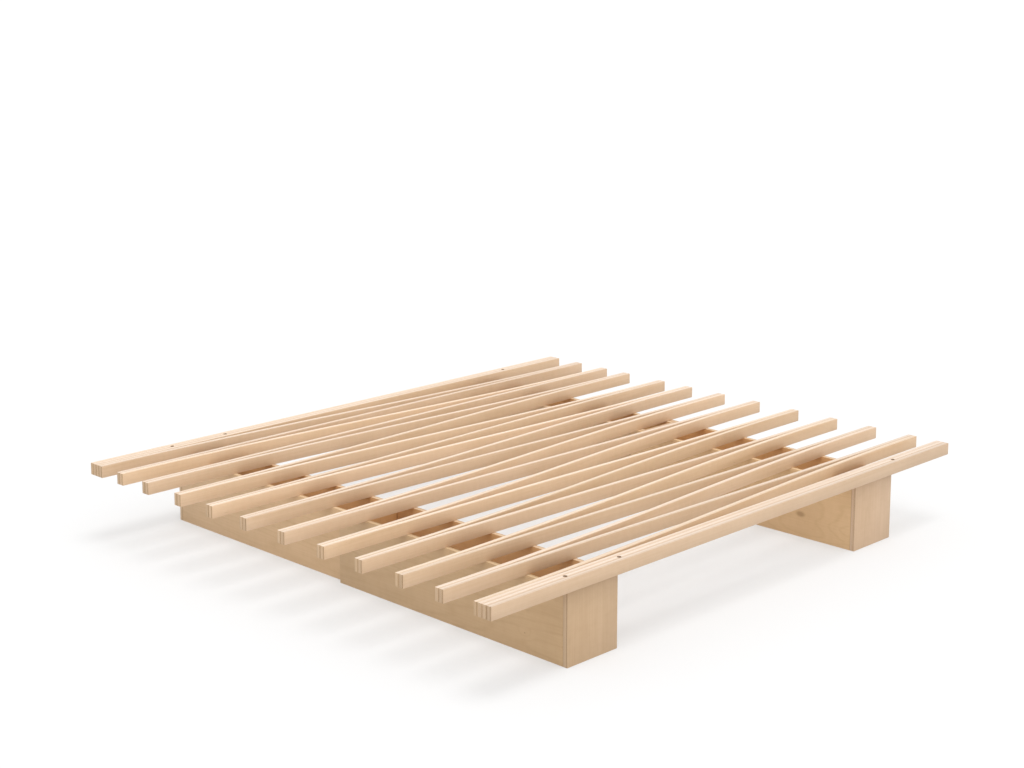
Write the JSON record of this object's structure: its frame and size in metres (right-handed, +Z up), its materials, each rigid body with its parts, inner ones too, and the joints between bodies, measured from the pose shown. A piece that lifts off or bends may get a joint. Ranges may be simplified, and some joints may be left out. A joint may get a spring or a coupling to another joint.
{
  "type": "bed frame",
  "caption": "Low slatted plywood bed frame that telescopes in width: springy slats glued in a zigzag between two side rails, on sliding crossbeams.",
  "frame": {"origin": "on the floor, under the middle of the opened bed", "axes": "+X across the bed towards the side with the sleeves, +Y along the slats towards the rear end, +Z up"},
  "size_m": [1.71, 2, 0.243],
  "materials": {
    "strips": "satin",
    "boards": "satin",
    "dowels": "satin"
  },
  "bodies": {
    "left_side": {"left_rail_outer_strip": "strips", "left_rail_middle_strip": "strips", "left_rail_inner_strip": "strips", "left_stop_dowels": "dowels", "left_rail_dowels": "dowels", "front_tongue_front_wall": "boards", "front_tongue_rear_wall": "boards", "front_tongue_end_board": "boards", "front_tongue_tip_board": "boards", "front_tongue_corner_dowels": "dowels", "rear_tongue_front_wall": "boards", "rear_tongue_rear_wall": "boards", "rear_tongue_end_board": "boards", "rear_tongue_tip_board": "boards", "rear_tongue_corner_dowels": "dowels"},
    "right_side": {"right_rail_outer_strip": "strips", "right_rail_middle_strip": "strips", "right_rail_inner_strip": "strips", "right_stop_dowels": "dowels", "right_rail_dowels": "dowels", "front_sleeve_front_wall": "boards", "front_sleeve_rear_wall": "boards", "front_sleeve_end_board": "boards", "front_sleeve_corner_dowels": "dowels", "rear_sleeve_front_wall": "boards", "rear_sleeve_rear_wall": "boards", "rear_sleeve_end_board": "boards", "rear_sleeve_corner_dowels": "dowels"},
    "link_01": {"slat_01": "strips"},
    "link_02": {"slat_02": "strips"},
    "link_03": {"slat_03": "strips"},
    "link_04": {"slat_04": "strips"},
    "link_05": {"slat_05": "strips"},
    "link_06": {"slat_06": "strips"},
    "link_07": {"slat_07": "strips"},
    "link_08": {"slat_08": "strips"},
    "link_09": {"slat_09": "strips"},
    "link_10": {"slat_10": "strips"},
    "link_11": {"slat_11": "strips"},
    "link_22": {"slat_22": "strips"},
    "link_21": {"slat_21": "strips"},
    "link_20": {"slat_20": "strips"},
    "link_19": {"slat_19": "strips"},
    "link_18": {"slat_18": "strips"},
    "link_17": {"slat_17": "strips"},
    "link_16": {"slat_16": "strips"},
    "link_15": {"slat_15": "strips"},
    "link_14": {"slat_14": "strips"},
    "link_13": {"slat_13": "strips"},
    "link_12": {"slat_12": "strips"}
  },
  "joints": [
    {"name": "bed_width", "type": "slide", "parent": "left_side", "child": "right_side", "axis": [1, 0, 0], "range_m": [-0.81, 0]},
    {"name": "slat_01_bend", "type": "slide", "parent": "left_side", "child": "link_01", "axis": [1, 0, 0], "range_m": [-0.0642, 0], "deforming": ["slat_01"]},
    {"name": "slat_02_bend", "type": "slide", "parent": "link_01", "child": "link_02", "axis": [1, 0, 0], "range_m": [0, 0.0278], "deforming": ["slat_02"]},
    {"name": "slat_03_bend", "type": "slide", "parent": "link_02", "child": "link_03", "axis": [1, 0, 0], "range_m": [-0.0792, 0], "deforming": ["slat_03"]},
    {"name": "slat_04_bend", "type": "slide", "parent": "link_03", "child": "link_04", "axis": [1, 0, 0], "range_m": [0, 0.0228], "deforming": ["slat_04"]},
    {"name": "slat_05_bend", "type": "slide", "parent": "link_04", "child": "link_05", "axis": [1, 0, 0], "range_m": [-0.0592, 0], "deforming": ["slat_05"]},
    {"name": "slat_06_bend", "type": "slide", "parent": "link_05", "child": "link_06", "axis": [1, 0, 0], "range_m": [-0.0292, 0], "deforming": ["slat_06"]},
    {"name": "slat_07_bend", "type": "slide", "parent": "link_06", "child": "link_07", "axis": [1, 0, 0], "range_m": [-0.0642, 0], "deforming": ["slat_07"]},
    {"name": "slat_08_bend", "type": "slide", "parent": "link_07", "child": "link_08", "axis": [1, 0, 0], "range_m": [-0.0142, 0], "deforming": ["slat_08"]},
    {"name": "slat_09_bend", "type": "slide", "parent": "link_08", "child": "link_09", "axis": [1, 0, 0], "range_m": [-0.0392, 0], "deforming": ["slat_09"]},
    {"name": "slat_10_bend", "type": "slide", "parent": "link_09", "child": "link_10", "axis": [1, 0, 0], "range_m": [-0.0442, 0], "deforming": ["slat_10"]},
    {"name": "slat_11_bend", "type": "slide", "parent": "link_10", "child": "link_11", "axis": [1, 0, 0], "range_m": [-0.0292, 0], "deforming": ["slat_11"]},
    {"name": "slat_22_bend", "type": "slide", "parent": "right_side", "child": "link_22", "axis": [1, 0, 0], "range_m": [0, 0.0492], "deforming": ["slat_22"]},
    {"name": "slat_21_bend", "type": "slide", "parent": "link_22", "child": "link_21", "axis": [1, 0, 0], "range_m": [0, 0.0142], "deforming": ["slat_21"]},
    {"name": "slat_20_bend", "type": "slide", "parent": "link_21", "child": "link_20", "axis": [1, 0, 0], "range_m": [0, 0.0642], "deforming": ["slat_20"]},
    {"name": "slat_19_bend", "type": "slide", "parent": "link_20", "child": "link_19", "axis": [1, 0, 0], "range_m": [0, 0.0092], "deforming": ["slat_19"]},
    {"name": "slat_18_bend", "type": "slide", "parent": "link_19", "child": "link_18", "axis": [1, 0, 0], "range_m": [0, 0.0692], "deforming": ["slat_18"]},
    {"name": "slat_17_bend", "type": "slide", "parent": "link_18", "child": "link_17", "axis": [1, 0, 0], "range_m": [0, 0.0142], "deforming": ["slat_17"]},
    {"name": "slat_16_bend", "type": "slide", "parent": "link_17", "child": "link_16", "axis": [1, 0, 0], "range_m": [0, 0.0692], "deforming": ["slat_16"]},
    {"name": "slat_15_bend", "type": "slide", "parent": "link_16", "child": "link_15", "axis": [1, 0, 0], "range_m": [0, 0.0092], "deforming": ["slat_15"]},
    {"name": "slat_14_bend", "type": "slide", "parent": "link_15", "child": "link_14", "axis": [1, 0, 0], "range_m": [0, 0.0792], "deforming": ["slat_14"]},
    {"name": "slat_13_bend", "type": "slide", "parent": "link_14", "child": "link_13", "axis": [1, 0, 0], "range_m": [0, 0.0142], "deforming": ["slat_13"]},
    {"name": "slat_12_bend", "type": "slide", "parent": "link_13", "child": "link_12", "axis": [1, 0, 0], "range_m": [0, 0.0642], "deforming": ["slat_12"]}
  ],
  "couplings": [
    {"joint": "slat_01_bend", "follows": "bed_width", "ratio": 0.078002},
    {"joint": "slat_02_bend", "follows": "bed_width", "ratio": -0.033109},
    {"joint": "slat_03_bend", "follows": "bed_width", "ratio": 0.096521},
    {"joint": "slat_04_bend", "follows": "bed_width", "ratio": -0.026936},
    {"joint": "slat_05_bend", "follows": "bed_width", "ratio": 0.071829},
    {"joint": "slat_06_bend", "follows": "bed_width", "ratio": 0.034792},
    {"joint": "slat_07_bend", "follows": "bed_width", "ratio": 0.078002},
    {"joint": "slat_08_bend", "follows": "bed_width", "ratio": 0.016274},
    {"joint": "slat_09_bend", "follows": "bed_width", "ratio": 0.047138},
    {"joint": "slat_10_bend", "follows": "bed_width", "ratio": 0.053311},
    {"joint": "slat_11_bend", "follows": "bed_width", "ratio": 0.034793},
    {"joint": "slat_22_bend", "follows": "bed_width", "ratio": -0.059484},
    {"joint": "slat_21_bend", "follows": "bed_width", "ratio": -0.016274},
    {"joint": "slat_20_bend", "follows": "bed_width", "ratio": -0.078002},
    {"joint": "slat_19_bend", "follows": "bed_width", "ratio": -0.010101},
    {"joint": "slat_18_bend", "follows": "bed_width", "ratio": -0.084175},
    {"joint": "slat_17_bend", "follows": "bed_width", "ratio": -0.016274},
    {"joint": "slat_16_bend", "follows": "bed_width", "ratio": -0.084175},
    {"joint": "slat_15_bend", "follows": "bed_width", "ratio": -0.010101},
    {"joint": "slat_14_bend", "follows": "bed_width", "ratio": -0.096521},
    {"joint": "slat_13_bend", "follows": "bed_width", "ratio": -0.016274},
    {"joint": "slat_12_bend", "follows": "bed_width", "ratio": -0.078002}
  ]
}
